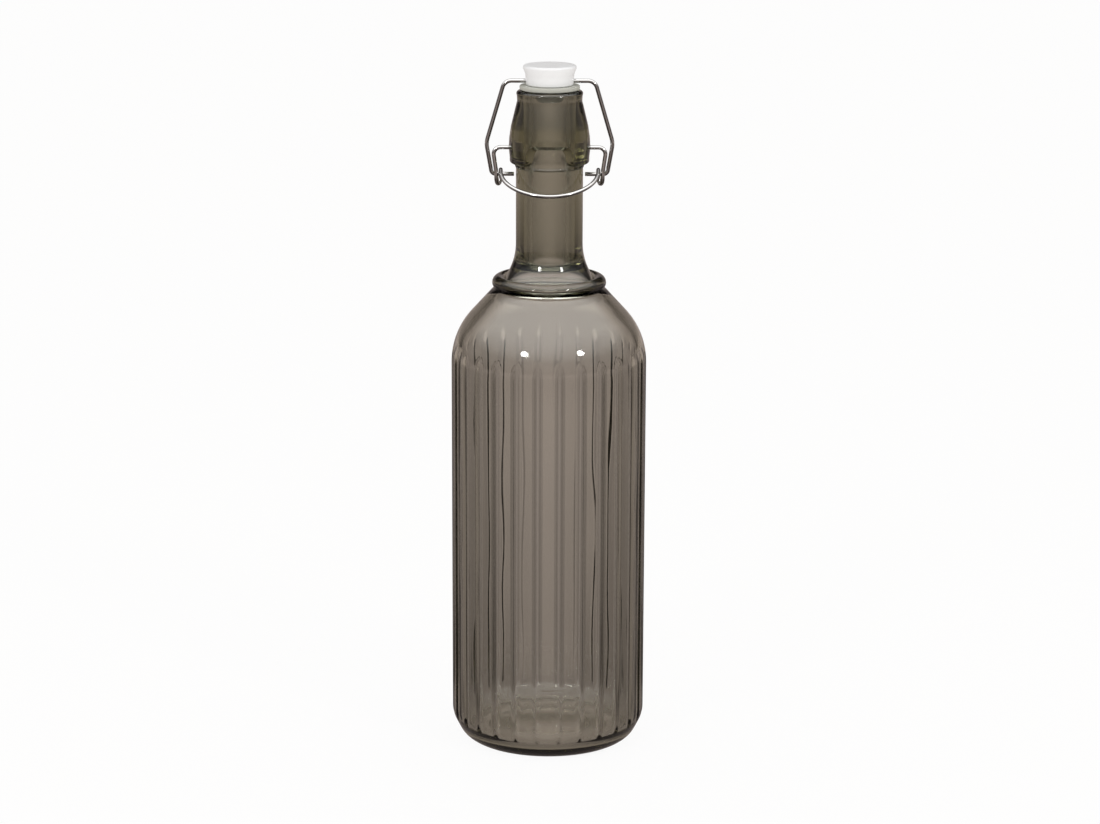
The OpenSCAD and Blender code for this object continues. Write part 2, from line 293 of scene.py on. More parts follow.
def plastic_material(settings):
    material, tree, output = new_material("white_plastic")
    shader = add(tree, "ShaderNodeBsdfPrincipled", Base_Color=(*settings.plastic_colour, 1.0),
                 IOR=1.49)
    wear = place_wear(tree, grain=1500.0, marks=120.0, roughness=0.34, variation=0.16)
    bump = add(tree, "ShaderNodeBump", Strength=0.12, Distance=0.0001)
    tone = tree.nodes.new("ShaderNodeMixRGB")
    darker = [0.97 * c for c in settings.plastic_colour]
    tone.inputs["Color1"].default_value = (*darker, 1.0)
    tone.inputs["Color2"].default_value = (*settings.plastic_colour, 1.0)
    link = tree.links.new
    link(wear.outputs["Mask"], tone.inputs["Fac"])
    link(tone.outputs["Color"], shader.inputs["Base Color"])
    join_surface(tree, shader, wear, bump, output)
    return material


def silicone_material(settings):
    material, tree, output = new_material("pale_silicone")
    shader = add(tree, "ShaderNodeBsdfPrincipled", Base_Color=(*settings.silicone_colour, 1.0),
                 IOR=1.41, Subsurface_Weight=0.35, Subsurface_Scale=0.002)
    shader.inputs["Subsurface Radius"].default_value = (1.0, 1.0, 0.9)
    wear = place_wear(tree, grain=1100.0, marks=90.0, roughness=0.42, variation=0.12)
    bump = add(tree, "ShaderNodeBump", Strength=0.15, Distance=0.0001)
    join_surface(tree, shader, wear, bump, output)
    return material


def wire_material(settings):
    material, tree, output = new_material("drawn_steel")
    shader = add(tree, "ShaderNodeBsdfPrincipled", Base_Color=(*settings.wire_colour, 1.0),
                 Metallic=1.0)
    wear = place_wear(tree, grain=2400.0, marks=180.0, roughness=0.11, variation=0.08)
    bump = add(tree, "ShaderNodeBump", Strength=0.08, Distance=0.00005)
    join_surface(tree, shader, wear, bump, output)
    return material


# Meshes

def arc(centre, radius, first, last, steps):
    """Points of an arc in the (radius, height) plane, angles in degrees, ends included."""
    turn = [radians(first + (last - first) * i / steps) for i in range(steps + 1)]
    return [(centre[0] + radius * cos(a), centre[1] + radius * sin(a)) for a in turn]


def between(p, q, steps):
    """Points from p to q without p."""
    return [(p[0] + (q[0] - p[0]) * i / steps, p[1] + (q[1] - p[1]) * i / steps)
            for i in range(1, steps + 1)]


def smooth_step(low, high, value):
    t = min(1.0, max(0.0, (value - low) / (high - low)))
    return t * t * (3 - 2 * t)


def spun(outline, steps, closed=True):
    """A mesh turned about Z from an outline of (radius, height) points in millimetres."""
    mesh = bmesh.new()
    row = mesh.verts.layers.int.new("row")
    points = [mesh.verts.new((r * MM, 0.0, z * MM)) for r, z in outline]
    for i, point in enumerate(points):
        point[row] = i
    count = len(points)
    edges = [mesh.edges.new((points[i], points[i + 1])) for i in range(count - 1)]
    if closed:
        edges.append(mesh.edges.new((points[-1], points[0])))
    bmesh.ops.spin(mesh, geom=points + edges, cent=(0, 0, 0), axis=(0, 0, 1), dvec=(0, 0, 0),
                   angle=2 * pi, steps=steps, use_merge=True, use_normal_flip=False,
                   use_duplicate=False)
    bmesh.ops.remove_doubles(mesh, verts=mesh.verts, dist=1e-7)
    bmesh.ops.recalc_face_normals(mesh, faces=mesh.faces)
    return mesh


def piece(name, mesh, material, smooth=True):
    """An object at the origin from a bmesh, with its material."""
    data = bpy.data.meshes.new(name)
    for face in mesh.faces:
        face.smooth = smooth
    mesh.to_mesh(data)
    mesh.free()
    data.materials.append(material)
    made = bpy.data.objects.new(name, data)
    bpy.context.scene.collection.objects.link(made)
    return made


def bored(context, made, radius, depth, centres):
    """Bores round holes along X into an object, all in millimetres, with their middles at centres."""
    drill = bmesh.new()
    for centre in centres:
        place = Matrix.Translation(Vector(centre) * MM) @ Matrix.Rotation(pi / 2, 4, "Y")
        bmesh.ops.create_cone(drill, cap_ends=True, segments=40, radius1=radius * MM,
                              radius2=radius * MM, depth=depth * MM, matrix=place)
    cutter = piece(made.name + "_drill", drill, made.data.materials[0])
    cut = made.modifiers.new("holes", "BOOLEAN")
    cut.operation = "DIFFERENCE"
    cut.object = cutter
    cut.solver = "EXACT"
    shaped = bpy.data.meshes.new_from_object(
        made.evaluated_get(context.evaluated_depsgraph_get()))
    made.modifiers.clear()
    made.data = shaped
    made.data.set_sharp_from_angle(angle=radians(40))
    bpy.data.objects.remove(cutter)


# The glass

class GLASS:
    """Levels and radii of the glass, in millimetres."""
    body_r = 43.0
    body_h = 172.8
    heel_top_r = 12.0
    heel_h = 14.0
    heel_r = 9.0
    heel_lean = 27.2
    punt_h = 3.0
    shoulder_r = 33.0
    shoulder_a = 42.5
    ring_x = 25.05
    ring_r = 3.1
    ring_groove = 1.2
    neck_r = 14.65
    flare_r = 27.0
    wall = 3.3
    floor_t = 5.0
    inner_heel_r = 9.0
    inner_punt_h = 3.3
    knee_r = 20.4
    knee_bend_r = 2.5
    shelf_r = 13.0
    shelf_z = 215.13
    shelf_rise = 1.36
    bore_end_r = 1.4
    shelf_end_r = 2.9
    bore_r = 7.4
    collar_r = 17.8
    foot_in = 0.45
    collar_corner_r = 1.3
    dimple_deep = 3.4
    neck_h = 35.3
    collar_h = 31.7
    mouth_r = 7.8
    lip_r = 14.5
    waist_r = 14.15
    arch_w = 18.8
    arch_foot_w = 21.0
    arch_h = 9.0
    arch_corner_r = 3.4
    arch_edge_step = 2.1
    arch_edge_out = 0.45
    arch_edge_w = 1.4
    arch_edge_in = 0.95
    arch_wall_in = 1.35
    back_fade_z = (-4, 13)
    back_fade_turn = (0.55, 0.85)
    seam = ((0.28, 1.6), (0.4, 1.25), (0.28, 0.95), (0.0, 0.6))
    lug_hole_r = 0.96
    lug_hole_l = 6
    gather = 0.62
    gather_z = (198, 216)
    reed_end_z = 208
    wave_end_z = 212


def glass_levels():
    g = GLASS
    a = radians(g.shoulder_a)
    shoulder_end = (g.body_r - g.shoulder_r + g.shoulder_r * cos(a), g.body_h + g.shoulder_r * sin(a))
    cone_x = g.ring_x + 0.35
    cone_z = shoulder_end[1] + (shoulder_end[0] - cone_x) / tan(a)
    ring_z = cone_z + 3.55
    flare_z = ring_z + 17.6
    collar_z = flare_z + g.neck_h
    return {"shoulder_end": shoulder_end, "cone": (cone_x, cone_z), "ring_z": ring_z,
            "flare_z": flare_z, "collar_z": collar_z, "lip_z": collar_z + g.collar_h,
            "pivot_z": collar_z + 6.7}


LEVEL = glass_levels()
SPOKES_PER_REED = 14


def glass_outer_rows():
    """Rows of the outer face from the middle of the base to the lip: on the lugs and in the arch."""
    g = GLASS
    heel_top = (g.body_r - g.heel_top_r, g.heel_h)
    lean = radians(g.heel_lean)
    end = (heel_top[0] + g.heel_top_r * cos(lean), heel_top[1] - g.heel_top_r * sin(lean))
    low_z = g.heel_r * (1 - sin(lean))
    low_x = end[0] - (end[1] - low_z) * tan(lean)
    heel = (low_x - g.heel_r * cos(lean), g.heel_r)
    punt_r = heel[0] * 0.85
    rows = [(punt_r * i / 6, g.punt_h * (1 - (i / 6) ** 2)) for i in range(7)]
    rows += arc(heel, g.heel_r, -90, -g.heel_lean, 8)
    rows += arc(heel_top, g.heel_top_r, -g.heel_lean, 0, 6)
    rows += between(rows[-1], (g.body_r, g.body_h - 14), 9)
    rows += between(rows[-1], (g.body_r, g.body_h), 5)
    shoulder = (g.body_r - g.shoulder_r, g.body_h)
    rows += arc(shoulder, g.shoulder_r, 0, g.shoulder_a, 16)[1:]
    rows += between(rows[-1], LEVEL["cone"], 4)
    groove = (g.ring_x - g.ring_groove, LEVEL["cone"][1] + 0.65)
    rows.append(groove)
    ring = (g.ring_x - g.ring_r, LEVEL["ring_z"])
    rows += arc(ring, g.ring_r, -33, 125, 17)
    flare = (g.neck_r + g.flare_r, LEVEL["flare_z"])
    rows += arc(flare, g.flare_r, 216, 180, 12)
    c = LEVEL["collar_z"]
    rows += between(rows[-1], (g.neck_r, c - 12), 6)
    rows += between((g.neck_r, c - 12), (g.neck_r, c - 1.9), 10)
    rows += [(g.neck_r + out, c - down) for out, down in g.seam]
    lug = list(rows)
    arch = list(rows)
    foot_r = g.collar_r - g.foot_in
    side = [(g.neck_r, c - 0.25), (g.neck_r + 0.25, c)]
    side += between(side[-1], (foot_r - g.collar_corner_r, c), 3)
    side += arc((foot_r - g.collar_corner_r, c + g.collar_corner_r), g.collar_corner_r, -90, 0, 6)[1:]
    side += between(side[-1], (foot_r, c + 2.7), 3)
    side += between(side[-1], (g.collar_r, c + 6.7), 8)
    side += between(side[-1], (g.collar_r - 0.25, c + 11.2), 26)
    low = lug[-1][1]
    top_i = max(i for i, p in enumerate(side) if p[1] < c + 7.5)
    recess = []
    for i, p in enumerate(side):
        if i <= top_i:
            recess.append((g.neck_r, low + (side[top_i][1] - low) * (i + 1) / (top_i + 1)))
        else:
            recess.append((g.neck_r, p[1]))
    lug += side
    arch += recess
    lip = LEVEL["lip_z"]
    brow = [side[-1], (g.collar_r - 0.95, c + 16.2), (g.waist_r, lip - 4.4)]
    rest = between(brow[0], brow[1], 4) + between(brow[1], brow[2], 8)
    rest += arc((g.lip_r - 1.3, lip - 1.3), 1.3, -30, 90, 12)
    rest += between(rest[-1], (g.mouth_r + 1.0, lip), 4)
    lug += rest
    arch += rest
    return lug, arch


def rounded(points, radii, steps=6):
    """The outline through the points, with an arc of the given radius at each inner corner."""
    rows = [points[0]]
    for before, corner, after, radius in zip(points, points[1:], points[2:], radii):
        p, q, r = Vector(before), Vector(corner), Vector(after)
        u, v = (p - q).normalized(), (r - q).normalized()
        half = u.angle(v) / 2
        first, last = q + u * radius / tan(half), q + v * radius / tan(half)
        centre = q + (u + v).normalized() * radius / sin(half)
        low = atan2(first.y - centre.y, first.x - centre.x)
        turn = (atan2(last.y - centre.y, last.x - centre.x) - low + pi) % (2 * pi) - pi
        rows += [(centre.x + radius * cos(low + turn * i / steps),
                  centre.y + radius * sin(low + turn * i / steps)) for i in range(steps + 1)]
    return rows + [points[-1]]


def glass_inner_rows():
    """Rows of the inner face from the mouth down to the middle of the floor."""
    g = GLASS
    lip = LEVEL["lip_z"]
    a = radians(g.shoulder_a)
    inner_r = g.body_r - g.wall
    inner_shoulder = g.shoulder_r - g.wall
    shoulder = (g.body_r - g.shoulder_r, g.body_h)
    start = (shoulder[0] + inner_shoulder * cos(a), shoulder[1] + inner_shoulder * sin(a))
    knee = (g.knee_r, start[1] + (start[0] - g.knee_r) / tan(a))
    rows = arc((g.mouth_r + 0.8, lip - 0.8), 0.8, 90, 180, 6)
    rows += between(rows[-1], (g.bore_r, LEVEL["collar_z"]), 10)
    rows += between(rows[-1], (g.bore_r, g.shelf_z + 5), 10)
    corners = [rows[-1], (g.bore_r, g.shelf_z + g.shelf_rise), (g.shelf_r, g.shelf_z), knee, start]
    rows += rounded(corners, (g.bore_end_r, g.shelf_end_r, g.knee_bend_r))[1:]
    rows += arc(shoulder, inner_shoulder, g.shoulder_a, 0, 12)[1:]
    rows += between(rows[-1], (inner_r, g.floor_t + g.inner_heel_r), 22)
    rows += arc((inner_r - g.inner_heel_r, g.floor_t + g.inner_heel_r), g.inner_heel_r, 0, -90, 12)[1:]
    flat = (inner_r - g.inner_heel_r) * 0.8
    rows += [(flat * i / 6, g.floor_t + g.inner_punt_h * (1 - (i / 6) ** 2))
             for i in range(6, -1, -1)]
    return rows


def soft_min(a, b, k):
    """The smaller of a and b, with a rounding of size k where they meet."""
    h = max(k - abs(a - b), 0.0) / k
    return min(a, b) - h * h * k / 4


def groove_face(angle, count, radius, depth):
    """Distance of a groove's face from the axis at an angle from the middle of a reed."""
    pitch = 2 * pi / count
    off = (angle / pitch - 0.5) % 1.0
    off = min(off, 1.0 - off) * pitch
    centre = GLASS.body_r + radius - depth
    inside = radius ** 2 - (centre * sin(off)) ** 2
    return centre * cos(off) - sqrt(inside) if inside > 0 else centre


def arch_share(x, z):
    """1 in the arched recess, 0 on the collar and a sloped edge between, at a place on the front."""
    g = GLASS
    up = z - LEVEL["collar_z"]
    corner_z = g.arch_h - g.arch_corner_r
    if up < corner_z:
        half = (g.arch_foot_w + (g.arch_w - g.arch_foot_w) * max(up, -2.0) / corner_z) / 2
        out = abs(x) - half
    else:
        dx = abs(x) - (g.arch_w / 2 - g.arch_corner_r)
        dz = up - corner_z
        out = hypot(dx, dz) - g.arch_corner_r if dx > 0 else dz - g.arch_corner_r
    slope = g.arch_edge_step / (g.collar_r - g.neck_r)
    if out > -g.arch_edge_in:
        return slope * max(0.0, (g.arch_edge_out - out) / g.arch_edge_w)
    return slope + (1.0 - slope) * smooth_step(g.arch_edge_in, g.arch_wall_in, -out)


def back_share(angle, z):
    """The same for the back, where the collar's lower edge fades into the neck between the lugs."""
    g = GLASS
    return (1 - smooth_step(*g.back_fade_z, z - LEVEL["collar_z"])) * (
        1 - smooth_step(*g.back_fade_turn, abs(sin(angle))))


def shape_glass(mesh, lug, arch, settings):
    """Moves the spun rows: reeds on the body, the arched recess and an uneven inner face."""
    g = GLASS
    pitch = 2 * pi / settings.reed_count
    radius = settings.groove_radius / MM
    depth = settings.groove_depth / MM
    softness = settings.groove_softness / MM
    wave = settings.waviness / MM
    layer = mesh.verts.layers.int["row"]
    for vert in mesh.verts:
        x, y, z = (c / MM for c in vert.co)
        r = hypot(x, y)
        if r < 1e-4:
            continue
        angle = atan2(y, x) + pi / 2
        row = vert[layer]
        if row < len(lug):
            gather = g.gather * (1 - smooth_step(*g.gather_z, z))
            angle += gather * sin(2 * pi * (angle / pitch)) * pitch / (2 * pi)
            if z < g.reed_end_z:
                r = soft_min(r, groove_face(angle, settings.reed_count, radius, depth), softness)
            elif z > LEVEL["collar_z"] - 4.5:
                low, high = arch[row], lug[row]
                if low != high:
                    top = max(high[1], low[1])
                    if cos(angle) > 0:
                        share = arch_share(high[0] * sin(angle), top)
                    else:
                        share = back_share(angle, top)
                    r = high[0] + (low[0] - high[0]) * share
                    z = high[1] + (low[1] - high[1]) * share
        elif z < g.wave_end_z and wave > 0:
            place = Vector((x, y, z * 0.45)) * 0.075
            fade = smooth_step(0, 25, r) * smooth_step(6, 20, z)
            r += wave * noise.noise(place) * fade
        vert.co = Vector((r * sin(angle), -r * cos(angle), z)) * MM


class BOTTLE_OT_glass(bpy.types.Operator):
    """Builds the glass: reeded body, ring, neck, collar with two lugs, and the hollow inside"""
    bl_idname = "bottle.glass"
    bl_label = "Glass"

    def execute(self, context):
        settings = context.scene.bottle_glass
        lug, arch = glass_outer_rows()
        inner = glass_inner_rows()
        mesh = spun(lug + inner, settings.reed_count * SPOKES_PER_REED, closed=False)
        shape_glass(mesh, lug, arch, settings)
        bmesh.ops.recalc_face_normals(mesh, faces=mesh.faces)
        made = piece("glass_bottle", mesh, glass_material(settings))
        hole = GLASS.collar_r - GLASS.dimple_deep + 3
        bored(context, made, GLASS.lug_hole_r, GLASS.lug_hole_l,
              [(side * hole, 0, LEVEL["pivot_z"]) for side in (-1, 1)])
        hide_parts("bottle")
        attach(made, "bottle")
        return {"FINISHED"}


# Wires

WIRE_R = 0.9
WIRE_SIDES = 20
END_BEVEL = 0.18
SWELL = 0.03
PLAY = 0.06


class Wire:
    """A round wire that is drawn forward from a start: straight runs and bends, in millimetres."""

    def __init__(self, start, way):
        self.mesh = bmesh.new()
        self.at = Vector(start)
        self.way = Vector(way).normalized()
        turn = Vector((0, 0, 1)).rotation_difference(self.way).to_matrix().to_4x4()
        place = Matrix.Translation(self.at * MM) @ turn
        made = bmesh.ops.create_circle(self.mesh, cap_ends=True, segments=WIRE_SIDES,
                                       radius=WIRE_R * MM, matrix=place)
        self.front = made["verts"]

    def rim(self):
        inside = set(self.front)
        return [e for e in self.mesh.edges if e.verts[0] in inside and e.verts[1] in inside]

    def run(self, length, steps=1):
        for _ in range(steps):
            grown = bmesh.ops.extrude_edge_only(self.mesh, edges=self.rim())["geom"]
            self.front = [v for v in grown if isinstance(v, bmesh.types.BMVert)]
            step = self.way * (length / steps)
            bmesh.ops.translate(self.mesh, verts=self.front, vec=step * MM)
            self.at += step
        return self

    def bend(self, radius, angle, axis, steps=None):
        """Turns by angle degrees about axis, which is square to the wire."""
        axis = Vector(axis).normalized()
        centre = self.at + axis.cross(self.way) * radius
        steps = steps or max(3, ceil(abs(angle) / 9))
        turn = Matrix.Rotation(radians(angle) / steps, 3, axis)
        for _ in range(steps):
            grown = bmesh.ops.extrude_edge_only(self.mesh, edges=self.rim())["geom"]
            self.front = [v for v in grown if isinstance(v, bmesh.types.BMVert)]
            bmesh.ops.rotate(self.mesh, verts=self.front, cent=centre * MM, matrix=turn)
            self.at = centre + turn @ (self.at - centre)
            self.way = turn @ self.way
        return self

    def finish(self):
        bmesh.ops.contextual_create(self.mesh, geom=self.rim())
        caps = [f for f in self.mesh.faces if len(f.verts) > 4]
        rims = {e for f in caps for e in f.edges}
        bmesh.ops.bevel(self.mesh, geom=list(rims), offset=END_BEVEL * MM, offset_type="OFFSET",
                        segments=2, profile=0.5, affect="EDGES", material=-1)
        bmesh.ops.recalc_face_normals(self.mesh, faces=self.mesh.faces)
        return self.mesh


def way_angle(u, v):
    return degrees(acos(max(-1.0, min(1.0, u.dot(v)))))


def follow(wire, points, bends):
    """Draws the wire along straight runs between points, with a bend at each corner."""
    for i in range(1, len(points) - 1):
        u = (points[i] - points[i - 1]).normalized()
        v = (points[i + 1] - points[i]).normalized()
        angle = way_angle(u, v)
        cut = bends[i] * tan(radians(angle) / 2)
        wire.way = u
        wire.run((points[i] - u * cut - wire.at).length)
        wire.bend(bends[i], angle, u.cross(v))
    wire.way = (points[-1] - points[-2]).normalized()
    wire.run((points[-1] - wire.at).length)
    return wire


class CLOSURE:
    """Places of the closure, in millimetres."""
    eye_drop = 13.45
    eye_leg = 0.4
    eye_r = 2.8
    crank_top_x = 24.8
    crank_low_x = 23.2
    crank_leg = 2.5
    handle_a = 22.0
    bail = ((15.5, 0.0), (25.2, 0.0), (27.6, 13.9), (19.6, None))
    bail_bends = (0.0, 2.0, 9.0, 4.0)
    lever_end_x = 14.7
    seat_gap = 0.3
    gasket_t = 2.0
    cross_h = 1.8


def closure_levels():
    c = CLOSURE
    eye_z = LEVEL["pivot_z"] - c.eye_drop
    gasket_z = LEVEL["lip_z"] + c.seat_gap
    return {"eye_z": eye_z, "pin_y": c.eye_r,
            "pin_z": eye_z + c.eye_leg + c.eye_r - 2 * WIRE_R - SWELL - PLAY,
            "gasket_z": gasket_z, "gasket_top": gasket_z + c.gasket_t,
            "cross_z": gasket_z + c.gasket_t + c.cross_h,
            "handle_x": c.crank_low_x - 2 * WIRE_R - SWELL - PLAY}


SEAT = closure_levels()


class BOTTLE_OT_bail(bpy.types.Operator):
    """Builds the bail: one wire from a pin in an eye up through the stopper to the other pin"""
    bl_idname = "bottle.bail"
    bl_label = "Bail wire"

    def execute(self, context):
        pin = Vector((0, SEAT["pin_y"], SEAT["pin_z"]))
        rise = Vector((0, -SEAT["pin_y"], SEAT["cross_z"] - SEAT["pin_z"]))
        height = rise.length
        up = rise.normalized()
        half = [(x, height if h is None else h) for x, h in CLOSURE.bail]
        places = half + [(-x, h) for x, h in reversed(half)]
        points = [pin + Vector((x, 0, 0)) + up * h for x, h in places]
        bends = list(CLOSURE.bail_bends) + list(reversed(CLOSURE.bail_bends))
        wire = Wire(points[0], points[1] - points[0])
        follow(wire, points, bends)
        made = piece("bail", wire.finish(), context.scene.bottle_wire)
        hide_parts("bail_wire")
        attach(made, "bail")
        return {"FINISHED"}


class BOTTLE_OT_lever(bpy.types.Operator):
    """Builds the lever: one wire with its ends in the lugs, two cranks, two eyes and the handle"""
    bl_idname = "bottle.lever"
    bl_label = "Lever wire"

    def execute(self, context):
        c = CLOSURE
        eye_z = SEAT["eye_z"]
        handle_x = SEAT["handle_x"]
        crank = [Vector(p) for p in (
            (c.lever_end_x, 0, LEVEL["pivot_z"]), (c.crank_top_x, 0, LEVEL["pivot_z"]),
            (c.crank_low_x, 0, eye_z + c.crank_leg), (c.crank_low_x, 0, eye_z))]
        wire = Wire(crank[0], crank[1] - crank[0])
        follow(wire, crank, (0, 3, 12, 0))
        across = Vector((handle_x - c.crank_low_x, 2 * c.eye_r, 0))
        wire.way = Vector((0, 0, -1))
        wire.bend(across.length / 2, 180, Vector((0, 0, -1)).cross(across), 14)
        wire.run(c.eye_leg)
        wire.bend(c.eye_r, 90 + c.handle_a, (1, 0, 0), 12)
        wire.run(c.eye_leg)
        slope = Vector((0, -cos(radians(c.handle_a)), -sin(radians(c.handle_a))))
        wire.way = slope
        wire.bend(handle_x, 180, slope.cross(Vector((-1, 0, 0))), 48)
        wire.run(c.eye_leg)
        wire.bend(c.eye_r, 90 + c.handle_a, (-1, 0, 0), 12)
        wire.run(c.eye_leg)
        wire.way = Vector((0, 0, -1))
        back = Vector((handle_x - c.crank_low_x, -2 * c.eye_r, 0))
        wire.bend(back.length / 2, 180, Vector((0, 0, -1)).cross(back), 14)
        rest = [Vector((-p.x, p.y, p.z)) for p in reversed(crank)]
        wire.at = rest[0].copy()
        follow(wire, rest, (0, 12, 3, 0))
        made = piece("lever", wire.finish(), context.scene.bottle_wire)
        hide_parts("lever_wire")
        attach(made, "lever")
        return {"FINISHED"}


# Stopper and gasket

class STOPPER:
    """Sizes of the stopper and the gasket, in millimetres."""
    plug_r = 6.7
    plug_h = 5
    plug_end_r = 1.2
    stem_r = 5.85
    foot_r = 10.35
    head_r = 11.65
    head_h = 8.8
    cross_hole_r = 0.98
    cross_hole_l = 30
    gasket_hole_r = 5.9
    gasket_edge_x = 12.5
    gasket_edge_r = 0.6


ROUND_STEPS = 96


class BOTTLE_OT_stopper(bpy.types.Operator):
    """Builds the white stopper: head, stem through the gasket and plug, bored across for the bail"""
    bl_idname = "bottle.stopper"
    bl_label = "Stopper"

    def execute(self, context):
        low = SEAT["gasket_z"]
        top = SEAT["gasket_top"]
        st = STOPPER
        taper = degrees(atan2(1.3, st.head_h))
        end = low - st.plug_h
        crown = top + st.head_h
        outline = [(0, end), (2.2, end)]
        outline += arc((st.plug_r * 0.78 - st.plug_end_r, end + st.plug_end_r), st.plug_end_r,
                       -90, -15, 6)
        outline += [(st.plug_r, low - 1.05), (st.plug_r, low - 0.35), (st.plug_r - 0.25, low - 0.05),
                    (st.stem_r, low - 0.05), (st.stem_r, top + 0.05), (7.0, top + 0.05)]
        outline += arc((st.foot_r - 0.7, top + 0.75), 0.7, -90, -taper, 6)
        outline += between(outline[-1], (st.head_r - 0.9, top + 7.0), 3)[:-1]
        outline += arc((st.head_r - 1.1, top + 7.7), 1.1, -taper, 90, 8)
        outline += [(8.0, crown), (4.0, crown), (0, crown)]
        mesh = spun(outline, ROUND_STEPS, closed=False)
        made = piece("stopper_head", mesh, plastic_material(context.scene.bottle_closure))
        bored(context, made, st.cross_hole_r, st.cross_hole_l, [(0, 0, SEAT["cross_z"])])
        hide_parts("stopper")
        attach(made, "stopper")
        return {"FINISHED"}


class BOTTLE_OT_gasket(bpy.types.Operator):
    """Builds the gasket: a soft washer on the stem, between the head and the lip"""
    bl_idname = "bottle.gasket"
    bl_label = "Gasket"

    def execute(self, context):
        low = SEAT["gasket_z"]
        top = SEAT["gasket_top"]
        hole_r, edge_x, edge_r = STOPPER.gasket_hole_r, STOPPER.gasket_edge_x, STOPPER.gasket_edge_r
        outline = [(hole_r, low), (9.0, low)]
        outline += arc((edge_x, low + edge_r), edge_r, -90, 0, 6)
        outline += arc((edge_x, top - edge_r), edge_r, 0, 90, 6)
        outline += [(9.0, top), (hole_r, top)]
        mesh = spun(outline, ROUND_STEPS)
        made = piece("gasket_ring", mesh, silicone_material(context.scene.bottle_closure))
        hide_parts("gasket")
        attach(made, "stopper")
        return {"FINISHED"}


# Stage

CAMERA_AT = (0.00057, -1.3748, 0.4808)
CAMERA_PITCH = 13.547
CAMERA_ROLL = 0.19
FOCUS_PIXELS = 3185.8
FRAME_PIXELS = 1100
FLOOR_RADIUS = 4.0


# Brightness of the room by degrees from the back
ROOM = ((0, 1.12), (5, 1.04), (13, 0.74), (32, 0.7), (38, 0.24), (47, 0.24), (54, 0.82), (76, 0.85),
        (84, 0.2), (104, 0.1), (125, 0.3), (150, 0.15), (170, 0.6), (180, 0.6))


def room_group():
    """Group: brightness of the room round the bottle, by degrees from the back to the front."""
    name = "room"
    if name in bpy.data.node_groups:
        return bpy.data.node_groups[name]
    group = bpy.data.node_groups.new(name, "ShaderNodeTree")
    group_socket(group, "Way", "INPUT", "NodeSocketVector", (0.0, 1.0, 0.0))
    group_socket(group, "Level", "OUTPUT", "NodeSocketFloat")
    source = group.nodes.new("NodeGroupInput")
    target = group.nodes.new("NodeGroupOutput")
    split = group.nodes.new("ShaderNodeSeparateXYZ")
    group.links.new(source.outputs["Way"], split.inputs[0])
    turn = combined(group, "ARCTAN2", split.outputs["X"], split.outputs["Y"])
    size = group.nodes.new("ShaderNodeMath")
    size.operation = "ABSOLUTE"
    group.links.new(turn, size.inputs[0])
    share = with_number(group, "DIVIDE", size.outputs[0], pi)
    level = ramp(group, share, [(angle / 180, part) for angle, part in ROOM])
    group.links.new(level, target.inputs["Level"])
    return group


def room_level(tree, way):
    node = tree.nodes.new("ShaderNodeGroup")
    node.node_tree = room_group()
    tree.links.new(way, node.inputs["Way"])
    return node.outputs["Level"]


def seen_in_glass(tree, path):
    """1 for rays that passed through glass or glanced off glass or wire."""
    return combined(tree, "MAXIMUM", path.outputs["Is Transmission Ray"],
                    path.outputs["Is Glossy Ray"])


def mixed(tree, share, first, second):
    node = tree.nodes.new("ShaderNodeMixShader")
    tree.links.new(share, node.inputs["Fac"])
    tree.links.new(first, node.inputs[1])
    tree.links.new(second, node.inputs[2])
    return node.outputs[0]


# Brightness by height of the soft light above, then of the floor's glow by metres from the bottle's
# axis, with a painted shadow round the bottle and painted light under its base, and how far the floor
# is even all round there
CEILING = ((0.0, 0.0), (0.27, 0.14), (0.45, 0.5), (0.7, 0.85), (0.95, 0.95))
FLOOR_SHADE_AND_LIGHT_RINGS = ((0.0, 1.5), (0.015, 1.45), (0.025, 1.0), (0.04, 0.75), (0.055, 0.65), (0.09, 0.75),
               (0.22, 0.85), (0.62, 1.02), (0.8, 0.93), (1.15, 0.93), (1.5, 1.4))
FLOOR_EVEN = ((0.0, 1.0), (0.06, 0.9), (0.1, 0.0), (0.7, 0.0), (0.88, 0.5), (1.15, 0.5), (1.5, 0.9))
FLOOR_REACH = 2.5
FLOOR_PEAK = 1.5
EVEN_LEVEL = 0.95
WHITE_SHARE = 0.93
CEILING_BACK = (0.1, 0.8)
WALL_TOP = (0.16, 0.3)
ABOVE_WALLS = 0.12


def floor_material(settings):
    """Pale floor: nearly white to the camera, and the room's grey to glass and wires, as a glow with a
    painted shadow round the bottle and painted light under its base.
    """
    material, tree, output = new_material("pale_floor")
    paint = add(tree, "ShaderNodeBsdfDiffuse", Color=(*settings.floor_colour, 1.0))
    glow = add(tree, "ShaderNodeEmission", Color=(1.0, 1.0, 1.0, 1.0), Strength=1.0)
    grey = add(tree, "ShaderNodeEmission", Color=(*settings.backdrop, 1.0))
    path = tree.nodes.new("ShaderNodeLightPath")
    place = tree.nodes.new("ShaderNodeTexCoord")
    link = tree.links.new
    far = with_number(tree, "DIVIDE", distance(tree, place.outputs["Object"]), FLOOR_REACH)
    # painted shadow round the bottle and painted light under its base, in the floor's glow that glass
    # and wires show
    painted_rings = ramp(tree, far, [(r / FLOOR_REACH, level / FLOOR_PEAK) for r, level in FLOOR_SHADE_AND_LIGHT_RINGS])
    near = with_number(tree, "MULTIPLY", painted_rings, FLOOR_PEAK)
    even = add(tree, "ShaderNodeMix", B=EVEN_LEVEL)
    link(ramp(tree, far, [(r / FLOOR_REACH, part) for r, part in FLOOR_EVEN]), even.inputs["Factor"])
    link(room_level(tree, place.outputs["Object"]), even.inputs["A"])
    link(combined(tree, "MULTIPLY", near, even.outputs["Result"]), grey.inputs["Strength"])
    white = with_number(tree, "MULTIPLY", path.outputs["Is Camera Ray"], WHITE_SHARE)
    seen = seen_in_glass(tree, path)
    shown = mixed(tree, seen, paint.outputs[0], grey.outputs[0])
    link(mixed(tree, white, shown, glow.outputs[0]), output.inputs["Surface"])
    return material


